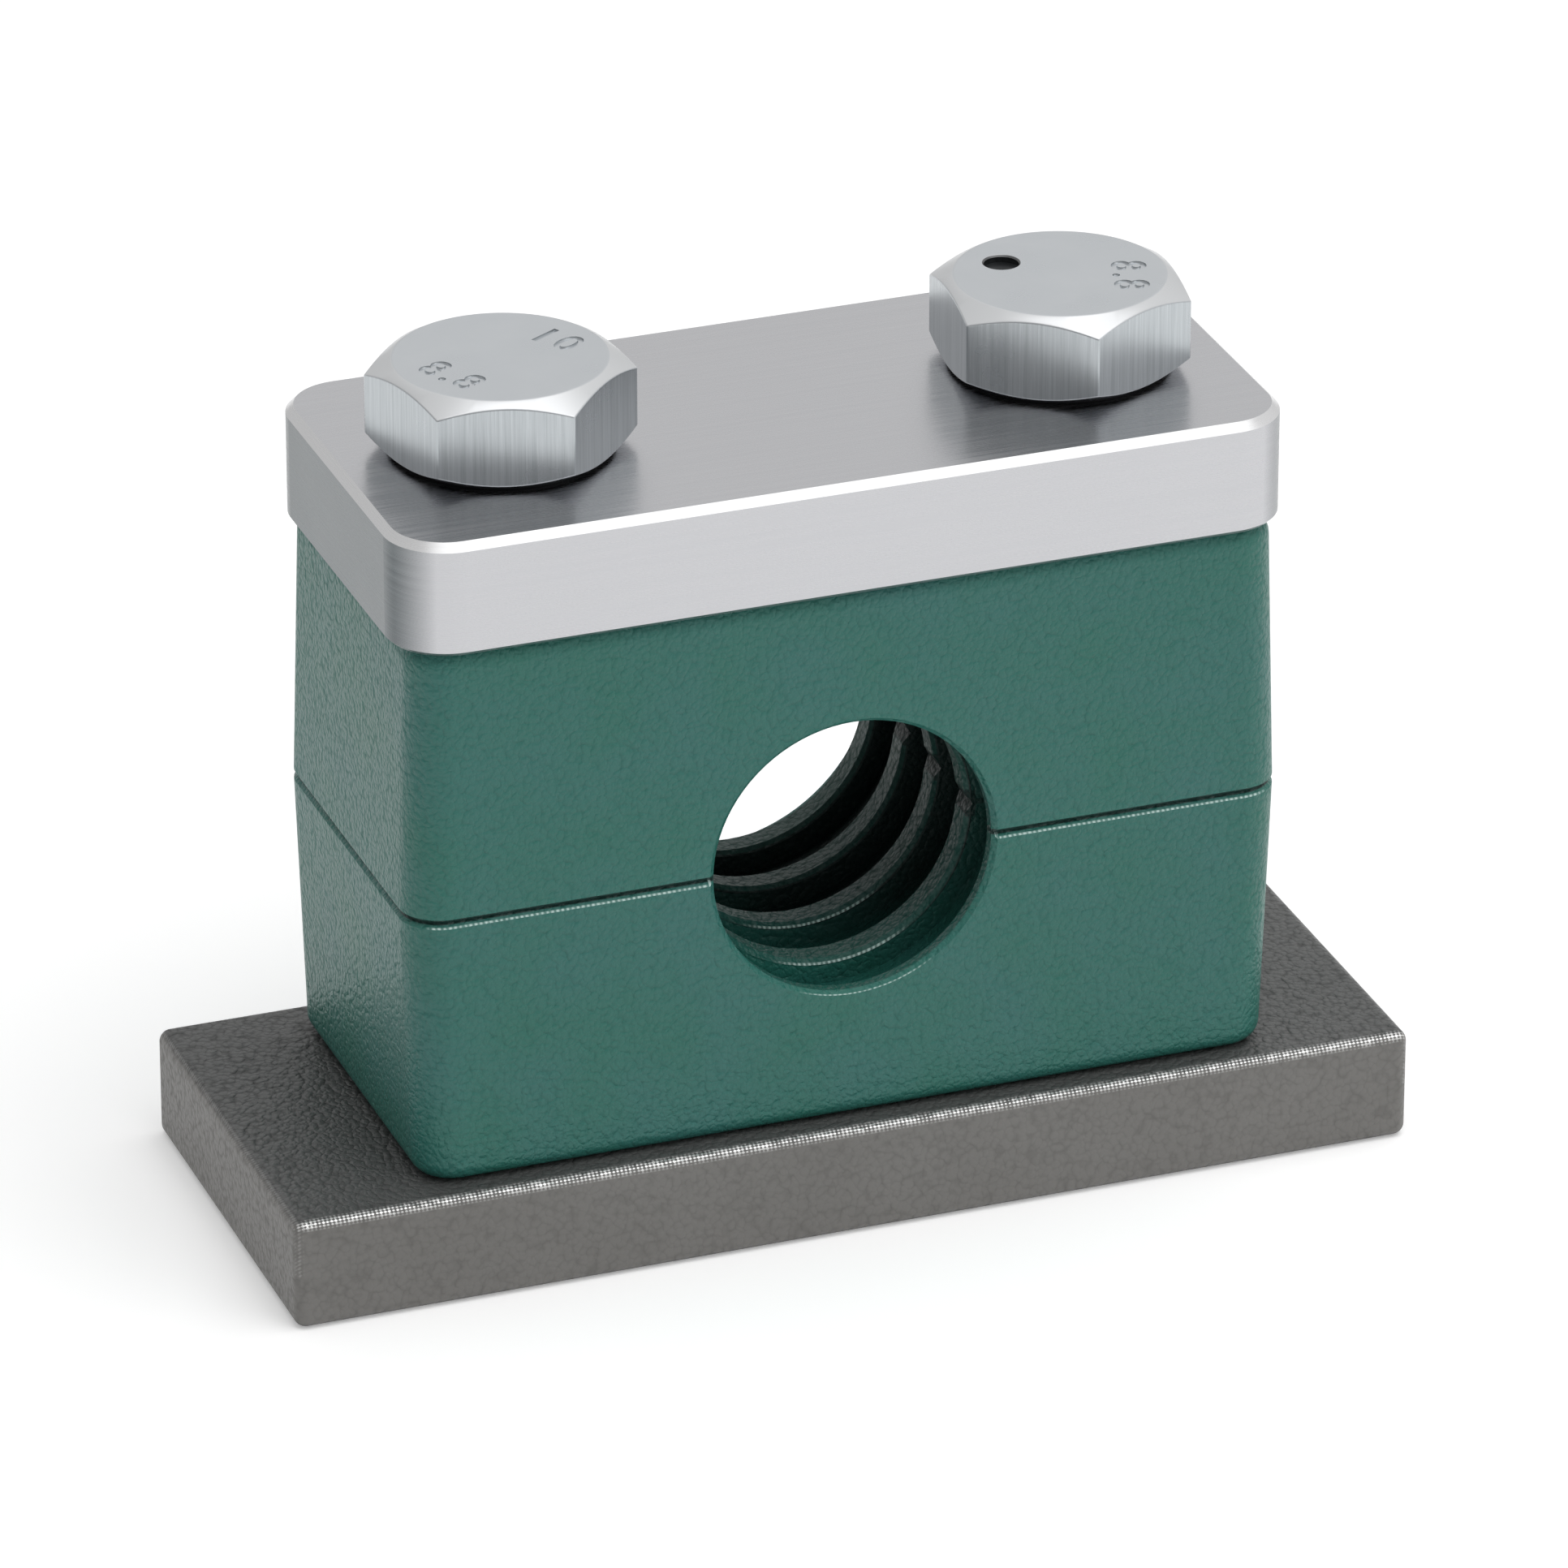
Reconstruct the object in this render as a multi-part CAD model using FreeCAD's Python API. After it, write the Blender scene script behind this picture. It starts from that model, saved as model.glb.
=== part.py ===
# Hydraulic tube clamp: a weld plate with two threaded bushes, two identical moulded halves with a
# ribbed bore, a steel cover plate and two hexagon head bolts. Millimetres, +Z up. The origin is the
# centre of the weld plate's underside, +X runs along the plate and the tube lies along Y.
import FreeCAD, Part

import math
import os

from FreeCAD import Vector

# Tube and ribbed bore
TUBE_DIAMETER = 20.0
RIB_COUNT = 5
RIB_WIDTH = 2.35
FRONT_RIB_WIDTH = 1.45
BACK_RECESS_DEPTH = 2.75
RIB_EDGE_CHAMFER = 0.35
GROOVE_DEPTH = 1.8
RIB_END_RELIEF = 0.45

# Moulded halves
BORE_WEB = 2.7
END_WALL = 5.9
BORE_ROOF = 7.9
HALF_WIDTH = 27.8
HALF_CORNER_RADIUS = 2.9
HALF_OUTER_EDGE_RADIUS = 1.3
HALF_SPLIT_EDGE_CHAMFER = 0.35
END_DRAFT_DEG = 1.8
SIDE_DRAFT_DEG = 0.4

# Bolts, hexagon head, coarse thread
THREAD_SIZE = 10.0
THREAD_ALLOWANCE = 0.14
THREAD_ENGAGEMENT = 10.0
HEX_ACROSS_FLATS = 15.8
HEAD_HEIGHT = 6.4
WASHER_FACE_HEIGHT = 0.25
WASHER_FACE_DIAMETER = 14.8
HEAD_UNDERSIDE_DIAMETER = 15.2
HEAD_CHAMFER_DIAMETER = 14.5
HEAD_CHAMFER_DEG = 30.0
BOLT_TIP_CHAMFER = 1.1
LEFT_HEAD_TURN_DEG = 43.5
RIGHT_HEAD_TURN_DEG = 25.0
DIMPLE_DIAMETER = 2.4
DIMPLE_DEPTH = 0.7
DIMPLE_OFFSET = 4.35
DIMPLE_ANGLE_DEG = 134.7

# Threaded bushes that stand on the weld plate
BUSH_DIAMETER = 16.0
BUSH_RISE = 12.5
BUSH_SPIGOT_DIAMETER = 13.0
THREAD_LEAD_IN = 0.9

# Weld plate and cover plate
PLATE_THICKNESS = 8.1
PLATE_END_TOE = 9.1
PLATE_SIDE_TOE = 1.6
PLATE_EDGE_RADIUS = 0.85
COVER_THICKNESS = 8.1
COVER_END_OVERHANG = 0.9
COVER_SIDE_OVERHANG = 0.55
COVER_CORNER_RADIUS = 4.3
COVER_TOP_CHAMFER = 0.55
COVER_BOTTOM_CHAMFER = 0.3

# Clearances
BOLT_HOLE_CLEARANCE = 1.0
BUSH_POCKET_CLEARANCE = 0.25
BUSH_POCKET_END_GAP = 0.5
SPIGOT_FIT_GAP = 0.02
CUT_OVERRUN = 1.0

# Worked out from the sizes above
BORE_RADIUS = TUBE_DIAMETER / 2
GROOVE_RADIUS = BORE_RADIUS + GROOVE_DEPTH
RIB_PITCH = (HALF_WIDTH - FRONT_RIB_WIDTH - BACK_RECESS_DEPTH) / (RIB_COUNT - 1)
BOLT_DIAMETER = THREAD_SIZE - THREAD_ALLOWANCE
BOLT_HOLE_DIAMETER = THREAD_SIZE + BOLT_HOLE_CLEARANCE
BUSH_POCKET_DIAMETER = BUSH_DIAMETER + 2 * BUSH_POCKET_CLEARANCE
BUSH_POCKET_DEPTH = BUSH_RISE + BUSH_POCKET_END_GAP
BOLT_SPACING = 2 * GROOVE_RADIUS + 2 * BORE_WEB + BOLT_HOLE_DIAMETER
HALF_LENGTH = BOLT_SPACING + BOLT_HOLE_DIAMETER + 2 * END_WALL
HALF_HEIGHT = GROOVE_RADIUS + BORE_ROOF
END_TAPER = HALF_HEIGHT * math.tan(math.radians(END_DRAFT_DEG))
SIDE_TAPER = HALF_HEIGHT * math.tan(math.radians(SIDE_DRAFT_DEG))
PLATE_LENGTH = HALF_LENGTH + 2 * PLATE_END_TOE
PLATE_WIDTH = HALF_WIDTH + 2 * PLATE_SIDE_TOE
COVER_LENGTH = HALF_LENGTH - 2 * END_TAPER + 2 * COVER_END_OVERHANG
COVER_WIDTH = HALF_WIDTH - 2 * SIDE_TAPER + 2 * COVER_SIDE_OVERHANG
SPLIT_HEIGHT = PLATE_THICKNESS + HALF_HEIGHT
COVER_UNDERSIDE = SPLIT_HEIGHT + HALF_HEIGHT
COVER_TOP = COVER_UNDERSIDE + COVER_THICKNESS
BOLT_LENGTH = COVER_THICKNESS + 2 * HALF_HEIGHT - BUSH_RISE + THREAD_ENGAGEMENT
BOLT_PLACES = {"left": -BOLT_SPACING / 2, "right": BOLT_SPACING / 2}
HEAD_TURNS = {"left": LEFT_HEAD_TURN_DEG, "right": RIGHT_HEAD_TURN_DEG}

UP = Vector(0, 0, 1)
ALONG_TUBE = Vector(0, 1, 0)


def rounded_rectangle(length, width, radius, height):
    """Closed outline of a rectangle with round corners, centred on the Z axis."""
    x = length / 2
    y = width / 2
    inner_x = x - radius
    inner_y = y - radius
    diagonal = radius * math.sqrt(0.5)
    edges = []
    for sign_x, sign_y, starts_along_x in ((1, 1, False), (-1, 1, True), (-1, -1, False), (1, -1, True)):
        on_end = Vector(sign_x * x, sign_y * inner_y, height)
        on_side = Vector(sign_x * inner_x, sign_y * y, height)
        middle = Vector(sign_x * (inner_x + diagonal), sign_y * (inner_y + diagonal), height)
        start, stop = (on_side, on_end) if starts_along_x else (on_end, on_side)
        if edges:
            edges.append(Part.makeLine(edges[-1].lastVertex().Point, start))
        edges.append(Part.Arc(start, middle, stop).toShape())
    edges.append(Part.makeLine(edges[-1].lastVertex().Point, edges[0].firstVertex().Point))
    return Part.Wire(edges)


def flat_block(length, width, radius, bottom, top):
    """Upright block with round vertical corners between two heights."""
    face = Part.Face(rounded_rectangle(length, width, radius, bottom))
    return face.extrude(UP * (top - bottom))


def rim_edges(shape, height):
    """Edges of a shape that lie flat at one height."""
    box_gap = 1e-4
    found = []
    for edge in shape.Edges:
        box = edge.BoundBox
        if abs(box.ZMin - height) < box_gap and abs(box.ZMax - height) < box_gap:
            found.append(edge)
    return found


def turned(points, centre, axis, radial):
    """Solid of revolution. Each point is (distance along the axis, radius)."""
    corners = [centre + axis * along + radial * radius for along, radius in points]
    face = Part.Face(Part.makePolygon(corners + corners[:1]))
    return face.revolve(centre, axis, 360)


def drill(diameter, x, bottom, top):
    """Upright round cutter at one bolt place."""
    return Part.makeCylinder(diameter / 2, top - bottom, Vector(x, 0, bottom), UP)


def bore_cutter():
    """The space of the tube, the grooves and the recess behind the last rib, turned about the tube's axis."""
    front_face = -HALF_WIDTH / 2
    chamfer = RIB_EDGE_CHAMFER
    broken_edge = BORE_RADIUS + chamfer
    outline = [(front_face - CUT_OVERRUN, 0), (front_face - CUT_OVERRUN, broken_edge)]
    for rib in range(RIB_COUNT):
        back = front_face + FRONT_RIB_WIDTH + rib * RIB_PITCH
        front = back - RIB_WIDTH
        if rib == 0:
            front = front_face
        else:
            outline.append((front, GROOVE_RADIUS))
        outline.append((front, broken_edge))
        outline.append((front + chamfer, BORE_RADIUS))
        outline.append((back - chamfer, BORE_RADIUS))
        outline.append((back, broken_edge))
        outline.append((back, GROOVE_RADIUS))
    outline.append((HALF_WIDTH / 2 + CUT_OVERRUN, GROOVE_RADIUS))
    outline.append((HALF_WIDTH / 2 + CUT_OVERRUN, 0))
    return turned(outline, Vector(0, 0, 0), ALONG_TUBE, Vector(1, 0, 0))


def rib_end_relief(side):
    """Prism that breaks the rib ends at the split, on one side of the bore. The front rib is left whole."""
    reach = 2 * RIB_END_RELIEF
    on_wall = math.sqrt(BORE_RADIUS ** 2 - reach ** 2)
    inside = on_wall - RIB_END_RELIEF
    section = [(inside, 0), (BORE_RADIUS + RIB_END_RELIEF, 0), (on_wall, reach), (inside, reach)]
    first_groove = FRONT_RIB_WIDTH + (RIB_PITCH - RIB_WIDTH) / 2 - HALF_WIDTH / 2
    corners = [Vector(side * x, first_groove, z) for x, z in section]
    face = Part.Face(Part.makePolygon(corners + corners[:1]))
    return face.extrude(ALONG_TUBE * (HALF_WIDTH / 2 + CUT_OVERRUN - first_groove))


def drafted_block():
    """Block that narrows from the split face at height zero to the outer face, edges rounded."""
    split_x = HALF_LENGTH / 2
    split_y = HALF_WIDTH / 2
    outer_x = split_x - END_TAPER
    outer_y = split_y - SIDE_TAPER
    block = Part.makeWedge(
        -split_x, 0, -split_y, -outer_y, -outer_x, split_x, HALF_HEIGHT, split_y, outer_y, outer_x
    )
    block.rotate(Vector(0, 0, 0), Vector(1, 0, 0), 90)
    upright = [edge for edge in block.Edges if edge.BoundBox.ZLength > HALF_HEIGHT / 2]
    block = block.makeFillet(HALF_CORNER_RADIUS, upright)
    block = block.makeFillet(HALF_OUTER_EDGE_RADIUS, rim_edges(block, HALF_HEIGHT))
    return block.makeChamfer(HALF_SPLIT_EDGE_CHAMFER, rim_edges(block, 0))


def moulded_half():
    """One half with its split face at height zero and its outer face up."""
    body = drafted_block()
    pocket_floor = HALF_HEIGHT - BUSH_POCKET_DEPTH
    cutters = [bore_cutter(), rib_end_relief(-1), rib_end_relief(1)]
    for x in BOLT_PLACES.values():
        cutters.append(drill(BOLT_HOLE_DIAMETER, x, -CUT_OVERRUN, HALF_HEIGHT))
        cutters.append(drill(BUSH_POCKET_DIAMETER, x, pocket_floor, HALF_HEIGHT + CUT_OVERRUN))
    return body.cut(cutters)


def upper_half():
    half = moulded_half()
    half.translate(UP * SPLIT_HEIGHT)
    return half


def lower_half():
    half = moulded_half()
    half.rotate(Vector(0, 0, 0), ALONG_TUBE, 180)
    half.translate(UP * SPLIT_HEIGHT)
    return half


def weld_plate():
    """Flat bar with rolled edges and a through hole for the spigot of each bush."""
    corner = Vector(-PLATE_LENGTH / 2, -PLATE_WIDTH / 2, 0)
    plate = Part.makeBox(PLATE_LENGTH, PLATE_WIDTH, PLATE_THICKNESS, corner)
    plate = plate.makeFillet(PLATE_EDGE_RADIUS, plate.Edges)
    hole = BUSH_SPIGOT_DIAMETER + 2 * SPIGOT_FIT_GAP
    cutters = [drill(hole, x, -CUT_OVERRUN, PLATE_THICKNESS + CUT_OVERRUN) for x in BOLT_PLACES.values()]
    return plate.cut(cutters)


def thread_bush(x):
    """Turned bush: a spigot in the plate, a collar on it, and the threaded bore right through."""
    top = PLATE_THICKNESS + BUSH_RISE
    bore = THREAD_SIZE / 2
    spigot = BUSH_SPIGOT_DIAMETER / 2
    collar = BUSH_DIAMETER / 2
    profile = [
        (0, bore),
        (0, spigot),
        (PLATE_THICKNESS, spigot),
        (PLATE_THICKNESS, collar),
        (top, collar),
        (top, bore + THREAD_LEAD_IN),
        (top - THREAD_LEAD_IN, bore),
    ]
    return turned(profile, Vector(x, 0, 0), UP, Vector(1, 0, 0))


def cover_plate():
    """Steel plate with round corners, broken edges and two bolt holes."""
    plate = flat_block(COVER_LENGTH, COVER_WIDTH, COVER_CORNER_RADIUS, COVER_UNDERSIDE, COVER_TOP)
    plate = plate.makeChamfer(COVER_TOP_CHAMFER, rim_edges(plate, COVER_TOP))
    plate = plate.makeChamfer(COVER_BOTTOM_CHAMFER, rim_edges(plate, COVER_UNDERSIDE))
    cutters = []
    for x in BOLT_PLACES.values():
        cutters.append(drill(BOLT_HOLE_DIAMETER, x, COVER_UNDERSIDE - CUT_OVERRUN, COVER_TOP + CUT_OVERRUN))
    return plate.cut(cutters)


def hex_head(x, turn_deg):
    """Hexagon between two cones, which leave the curved edges above and below the flats."""
    bottom = COVER_TOP + WASHER_FACE_HEIGHT
    top = COVER_TOP + HEAD_HEIGHT
    corner_radius = HEX_ACROSS_FLATS / 2 / math.cos(math.pi / 6)
    corners = []
    for corner in range(6):
        angle = math.radians(turn_deg + 60 * corner)
        corners.append(Vector(x + corner_radius * math.cos(angle), corner_radius * math.sin(angle), bottom))
    prism = Part.Face(Part.makePolygon(corners + corners[:1])).extrude(UP * (top - bottom))
    below = HEAD_UNDERSIDE_DIAMETER / 2
    above = HEAD_CHAMFER_DIAMETER / 2
    reach = corner_radius + CUT_OVERRUN
    slope = math.tan(math.radians(HEAD_CHAMFER_DEG))
    rise = (reach - below) * slope
    drop = (reach - above) * slope
    cones = [(bottom, 0), (bottom, below), (bottom + rise, reach), (top - drop, reach), (top, above), (top, 0)]
    return prism.common(turned(cones, Vector(x, 0, 0), UP, Vector(1, 0, 0)))


def bolt(side):
    """Hexagon head on its washer face, with a shank that ends in a chamfer."""
    x = BOLT_PLACES[side]
    shank = BOLT_DIAMETER / 2
    tip = COVER_TOP - BOLT_LENGTH
    seat = COVER_TOP
    profile = [
        (tip, 0),
        (tip, shank - BOLT_TIP_CHAMFER),
        (tip + BOLT_TIP_CHAMFER, shank),
        (seat, shank),
        (seat, WASHER_FACE_DIAMETER / 2),
        (seat + WASHER_FACE_HEIGHT, WASHER_FACE_DIAMETER / 2),
        (seat + WASHER_FACE_HEIGHT, 0),
    ]
    body = turned(profile, Vector(x, 0, 0), UP, Vector(1, 0, 0))
    return body.fuse(hex_head(x, HEAD_TURNS[side])).removeSplitter()


def head_dimple():
    """Small blind hole in the top of the right bolt's head."""
    angle = math.radians(DIMPLE_ANGLE_DEG)
    x = BOLT_PLACES["right"] + DIMPLE_OFFSET * math.cos(angle)
    y = DIMPLE_OFFSET * math.sin(angle)
    floor = Vector(x, y, COVER_TOP + HEAD_HEIGHT - DIMPLE_DEPTH)
    return Part.makeCylinder(DIMPLE_DIAMETER / 2, DIMPLE_DEPTH + CUT_OVERRUN, floor, UP)


NODES = {
    "weld_plate": weld_plate(),
    "left_thread_bush": thread_bush(BOLT_PLACES["left"]),
    "right_thread_bush": thread_bush(BOLT_PLACES["right"]),
    "lower_half": lower_half(),
    "upper_half": upper_half(),
    "cover_plate": cover_plate(),
    "left_bolt": bolt("left"),
    "right_bolt": bolt("right").cut(head_dimple()),
}

os.makedirs("parts", exist_ok=True)
for name, shape in NODES.items():
    shape.exportStep(f"parts/{name}.step")
    box = shape.BoundBox
    print(
        f"{name}: {shape.ShapeType}, solids {len(shape.Solids)}, valid {shape.isValid()}, "
        f"volume {shape.Volume:.1f}, box {box.XLength:.2f} x {box.YLength:.2f} x {box.ZLength:.2f}"
    )
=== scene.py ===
# %% [markdown]
# # A hydraulic tube clamp
# The clamp is a stack: a weld plate, a lower and an upper moulded half round the tube, a steel cover plate,
# and two bolts that pull the stack together. The CAD model already has every piece at its real size and
# place, so this script starts from it and works on what the eye sees: finishes, threads, stamped marks and
# light. Loading the CAD model first means that a new piece can take its place from a solid's box.

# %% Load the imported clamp
import math

import bmesh
import bpy
from mathutils import Matrix, Vector


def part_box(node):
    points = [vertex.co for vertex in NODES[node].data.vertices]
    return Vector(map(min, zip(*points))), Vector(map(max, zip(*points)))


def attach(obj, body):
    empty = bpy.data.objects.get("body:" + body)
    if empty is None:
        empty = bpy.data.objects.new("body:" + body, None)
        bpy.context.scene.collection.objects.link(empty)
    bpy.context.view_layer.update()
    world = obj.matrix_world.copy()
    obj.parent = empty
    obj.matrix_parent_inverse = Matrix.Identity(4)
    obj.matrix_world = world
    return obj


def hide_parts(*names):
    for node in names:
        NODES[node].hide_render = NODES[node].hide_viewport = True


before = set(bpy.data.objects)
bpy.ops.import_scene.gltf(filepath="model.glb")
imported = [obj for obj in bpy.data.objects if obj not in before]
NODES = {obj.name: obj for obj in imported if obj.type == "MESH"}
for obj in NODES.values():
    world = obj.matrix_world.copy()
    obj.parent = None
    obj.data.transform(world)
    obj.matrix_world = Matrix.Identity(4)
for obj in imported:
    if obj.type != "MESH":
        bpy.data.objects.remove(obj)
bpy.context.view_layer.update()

MM = 0.001
print("pieces of the CAD model:", sorted(NODES))

# %% [markdown]
# ## The camera
# The picture was taken from a little above and from the left, with a long lens, so the upright edges stay
# nearly parallel. A camera can be turned by hand until it looks right, but an angle, a height and a distance
# say the same thing in numbers, and they came from the clamp's own edges: each edge's true length is known
# from the CAD model, and its place in the picture can be measured.

# %% Camera at the picture's angle
CAMERA_AZIMUTH = math.radians(-20.4)
CAMERA_ELEVATION = math.radians(26.0)
CAMERA_DISTANCE = 741.1 * MM
CAMERA_AIM = Vector((-0.5, -1.6, 27.8)) * MM
SENSOR_WIDTH = 36.0
LENS = 249.4


def direction(azimuth, elevation):
    """Unit vector towards an azimuth, with zero in front of the clamp, and a height above the horizon."""
    flat = math.cos(elevation)
    return Vector((math.sin(azimuth) * flat, -math.cos(azimuth) * flat, math.sin(elevation)))


def stand(thing, name, place, aim):
    """Puts a light or a camera in the scene and turns it towards a point."""
    made = bpy.data.objects.new(name, thing)
    made.location = place
    made.rotation_euler = (aim - place).to_track_quat("-Z", "Y").to_euler()
    bpy.context.scene.collection.objects.link(made)
    return made


lens = bpy.data.cameras.new("photo_camera")
lens.sensor_width = SENSOR_WIDTH
lens.lens = LENS
lens.clip_start = 0.01
lens.clip_end = 20.0
towards_camera = direction(CAMERA_AZIMUTH, CAMERA_ELEVATION)
camera = stand(lens, "photo_camera", CAMERA_AIM + towards_camera * CAMERA_DISTANCE, CAMERA_AIM)
bpy.context.scene.camera = camera
bpy.context.scene.view_settings.view_transform = "Standard"
print("camera at mm", [round(value / MM, 1) for value in camera.location])

# %% [markdown]
# ## Wiring nodes from code
# Materials and Geometry Nodes are both graphs, and drawing them in code is mostly the same three moves: add
# a node, set its options, and feed its sockets with a number or with another node's output. A few small
# helpers do that, so that the graphs below read like sums.


# %% Helpers for node graphs
def feed_in(tree, socket, feed):
    """Links an output to a socket, or sets the socket's own value."""
    if isinstance(feed, bpy.types.NodeSocket):
        tree.links.new(feed, socket)
    else:
        socket.default_value = feed


def add(tree, kind, feeds=(), **options):
    """Adds a node. Each feed is (socket, value or output socket), and each option is a node setting."""
    node = tree.nodes.new(kind)
    for option, value in options.items():
        setattr(node, option, value)
    for socket, feed in dict(feeds).items():
        feed_in(tree, node.inputs[socket], feed)
    return node


def calc(tree, operation, *values, clamp=False):
    """One Math node, fed with numbers or outputs. Gives its result."""
    feeds = list(enumerate(values))
    return add(tree, "ShaderNodeMath", feeds, operation=operation, use_clamp=clamp).outputs[0]


def times(tree, *factors):
    """The product of two or more numbers or outputs."""
    product = factors[0]
    for factor in factors[1:]:
        product = calc(tree, "MULTIPLY", product, factor)
    return product


def vector_calc(tree, operation, *values):
    """One Vector Math node. Of its outputs the first is a vector, and "Value" is a number."""
    return add(tree, "ShaderNodeVectorMath", enumerate(values), operation=operation).outputs


def axes(tree, vector):
    """The X, Y and Z of a vector."""
    return add(tree, "ShaderNodeSeparateXYZ", [(0, vector)]).outputs


def xyz(tree, x, y, z):
    """A vector from its three parts."""
    return add(tree, "ShaderNodeCombineXYZ", [(0, x), (1, y), (2, z)]).outputs[0]


def noise_texture(tree, vector, scale, detail, roughness=0.5):
    feeds = [("Vector", vector), ("Scale", scale), ("Detail", detail), ("Roughness", roughness)]
    return add(tree, "ShaderNodeTexNoise", feeds).outputs


def spaced(feeds):
    """Named values under the sockets' own titles, which have spaces."""
    return {title.replace("_", " "): feed for title, feed in feeds.items()}


def new_group(name, kind, inputs, outputs):
    """An empty node group with named sockets, and its input and output nodes."""
    tree = bpy.data.node_groups.new(name, kind)
    for title, socket_type, value in inputs:
        socket = tree.interface.new_socket(title, in_out="INPUT", socket_type=socket_type)
        if value is not None:
            socket.default_value = value
    for title, socket_type in outputs:
        tree.interface.new_socket(title, in_out="OUTPUT", socket_type=socket_type)
    return tree, tree.nodes.new("NodeGroupInput").outputs, tree.nodes.new("NodeGroupOutput").inputs


NUMBER, WHOLE, POINT = "NodeSocketFloat", "NodeSocketInt", "NodeSocketVector"
YES_NO, FINISH, SHAPE = "NodeSocketBool", "NodeSocketMaterial", "NodeSocketGeometry"
print("node helpers ready")

# %% [markdown]
# ## Pebbled skin
# The moulded halves and the weld plate both have a fine leather-like grain: the mould of the plastic is
# etched, and the plate's coating dries with a pebbled skin. A Voronoi texture gives the pebbles: the square
# of the distance to the nearest point makes round domes with narrow creases between them. Its smooth kind
# would round the creases too, but it takes far longer to render. On its own the texture looks like tiles,
# so its coordinates are first pushed about by a noise, and a finer noise roughens it. It is one group,
# because only the pebble size and the depth differ from one material to the other.

# %% Group for pebbled skin
PUSH_SCALE = 0.55
PUSH = (1.3, 1.3, 1.3)
ROUGHENING_SCALE = 2.6
CREASE_STEEPNESS = 2.2
CREASE_START = -0.9


def pebbled_skin():
    tree, given, result = new_group(
        "pebbled skin", "ShaderNodeTree",
        [("Vector", POINT, None), ("Pebble Size", NUMBER, 0.0006), ("Roughening", NUMBER, 0.3)],
        [("Height", NUMBER), ("Crease", NUMBER)],
    )
    per_size = calc(tree, "DIVIDE", 1.0, given["Pebble Size"])
    feeds = [(0, given["Vector"]), ("Scale", per_size)]
    scaled = add(tree, "ShaderNodeVectorMath", feeds, operation="SCALE").outputs[0]
    push = noise_texture(tree, scaled, PUSH_SCALE, 1.0)["Color"]
    pushed = vector_calc(tree, "MULTIPLY_ADD", push, PUSH, scaled)[0]
    pebbles = add(tree, "ShaderNodeTexVoronoi", [("Vector", pushed), ("Scale", 1.0)], feature="F1")
    fine = noise_texture(tree, scaled, ROUGHENING_SCALE, 2.0)["Fac"]
    away = pebbles.outputs["Distance"]
    dome = calc(tree, "SUBTRACT", 1.0, times(tree, away, away))
    rough = times(tree, fine, given["Roughening"])
    tree.links.new(calc(tree, "ADD", dome, rough), result["Height"])
    crease = calc(tree, "MULTIPLY_ADD", away, CREASE_STEEPNESS, CREASE_START, clamp=True)
    tree.links.new(crease, result["Crease"])
    return tree


PEBBLED_SKIN = pebbled_skin()
print("group made:", PEBBLED_SKIN.name)

# %% [markdown]
# ## Brushed lines
# The cover plate and the flats of the bolt heads are brushed: an abrasive belt leaves thousands of fine
# parallel scratches. A noise stretched in one direction gives such lines. The group takes coordinates whose
# first axis runs along the scratches, so each material turns its coordinates first, and then gives the
# length and the width of a scratch.

# %% Group for brushed lines
BROAD_SCALE = 0.22
LINE_CONTRAST = 1.5


def brushed_lines():
    tree, given, result = new_group(
        "brushed lines", "ShaderNodeTree",
        [("Vector", POINT, None), ("Scratch Length", NUMBER, 0.02), ("Scratch Width", NUMBER, 0.0001)],
        [("Height", NUMBER), ("Tone", NUMBER)],
    )
    parts = axes(tree, given["Vector"])
    along = calc(tree, "DIVIDE", parts[0], given["Scratch Length"])
    across = calc(tree, "DIVIDE", parts[1], given["Scratch Width"])
    aside = calc(tree, "DIVIDE", parts[2], given["Scratch Width"])
    stretched = xyz(tree, along, across, aside)
    fine = noise_texture(tree, stretched, 1.0, 3.0, 0.65)["Fac"]
    broad = noise_texture(tree, stretched, BROAD_SCALE, 2.0)["Fac"]
    tree.links.new(fine, result["Height"])
    tone = calc(tree, "MULTIPLY_ADD", calc(tree, "ADD", fine, broad), LINE_CONTRAST, -1.0)
    tree.links.new(calc(tree, "MAXIMUM", calc(tree, "MINIMUM", tone, 1.0), 0.0), result["Tone"])
    return tree


BRUSHED_LINES = brushed_lines()
print("group made:", BRUSHED_LINES.name)

# %% [markdown]
# ## Clouding, and worn rims with a painted highlight
# No finish is quite even. Clouding is a soft, large noise that every material uses to drift between two
# tones. Handling also polishes the outer edges of a block, and the band is also made bright as a painted
# highlight. An edge of a block is where it is close to two of its faces at once, so the second group works
# out how near each pair of faces is from the coordinates and the block's half sizes. Two slanting waves and
# a noise break the band up into small diamonds, as the tops of pebbles are. Only the upper edges are
# touched, where the highlight is painted, and the two long ones, which everything slides over and which
# carry the brightest painted highlight, have an output of their own.

# %% Groups for clouding and for worn rims with a painted highlight
DIAMOND_DEPTH = 2.2
UNEVENNESS = 3.4
UNEVEN_START = -1.45


def clouding():
    tree, given, result = new_group(
        "clouding", "ShaderNodeTree",
        [("Vector", POINT, None), ("Cloud Size", NUMBER, 0.008), ("Contrast", NUMBER, 1.0)],
        [("Tone", NUMBER)],
    )
    per_size = calc(tree, "DIVIDE", 1.0, given["Cloud Size"])
    noise = noise_texture(tree, given["Vector"], per_size, 3.0)["Fac"]
    centred = calc(tree, "SUBTRACT", noise, 0.5)
    tree.links.new(calc(tree, "MULTIPLY_ADD", centred, given["Contrast"], 0.5, clamp=True), result["Tone"])
    return tree


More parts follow.
